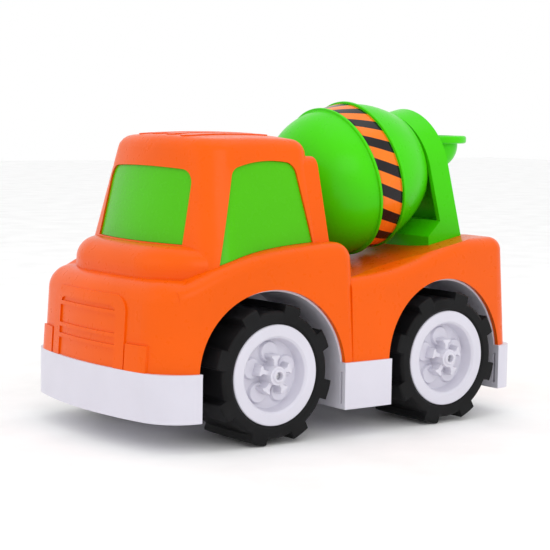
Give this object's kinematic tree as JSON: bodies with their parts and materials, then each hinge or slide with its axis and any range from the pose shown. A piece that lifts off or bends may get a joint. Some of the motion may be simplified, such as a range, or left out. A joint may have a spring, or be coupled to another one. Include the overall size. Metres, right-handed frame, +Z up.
{
  "type": "toy cement mixer truck",
  "caption": "Chunky toddler cement mixer truck with a domed cab, a tilted drum that turns between the cab and a rear arch, a rear hopper and wide lugged wheels on steel axles.",
  "frame": {"origin": "on the ground, midway between the axles and on the centre plane", "axes": "+X towards the front of the truck, +Y to its left, +Z up"},
  "size_m": [0.2686, 0.1598, 0.1821],
  "materials": {
    "orange_body": "glossy moulded plastic",
    "white_hub": "satin moulded plastic",
    "green_windows": "glossy moulded plastic",
    "green_arch": "glossy moulded plastic",
    "white_chassis": "satin moulded plastic",
    "green_drum": "glossy moulded plastic",
    "stripe_decal": "printed self-adhesive film",
    "black_tyre": "satin moulded",
    "steel": "bright drawn wire"
  },
  "bodies": {
    "truck": {"body_shell": "orange_body", "window_insert": "green_windows", "chassis": "white_chassis", "rear_arch": "green_arch", "hopper": "green_arch", "arch_screws": "steel", "body_screws": "steel", "drum_front_bush": "orange_body", "drum_rear_bush": "white_chassis"},
    "drum": {"drum_front_shell": "green_drum", "drum_rear_shell": "green_drum", "drum_band": "stripe_decal", "drum_shaft": "steel"},
    "front_wheels": {"axle_front": "steel", "tyre_front_left": "black_tyre", "tyre_front_right": "black_tyre", "hub_front_left": "white_hub", "hub_front_right": "white_hub", "washer_front_left": "steel", "washer_front_right": "steel"},
    "rear_wheels": {"axle_rear": "steel", "tyre_rear_left": "black_tyre", "tyre_rear_right": "black_tyre", "hub_rear_left": "white_hub", "hub_rear_right": "white_hub", "washer_rear_left": "steel", "washer_rear_right": "steel"}
  },
  "joints": [
    {"name": "drum_spin", "type": "hinge", "parent": "truck", "child": "drum", "pos_m": [-0.0362, 0, 0.1348], "axis": [-0.974, 0, 0.2267], "continuous": true},
    {"name": "front_axle_spin", "type": "hinge", "parent": "truck", "child": "front_wheels", "pos_m": [0.0604, 0, 0.0375], "axis": [0, 1, 0], "continuous": true},
    {"name": "rear_axle_spin", "type": "hinge", "parent": "truck", "child": "rear_wheels", "pos_m": [-0.0604, 0, 0.0375], "axis": [0, 1, 0], "continuous": true}
  ]
}
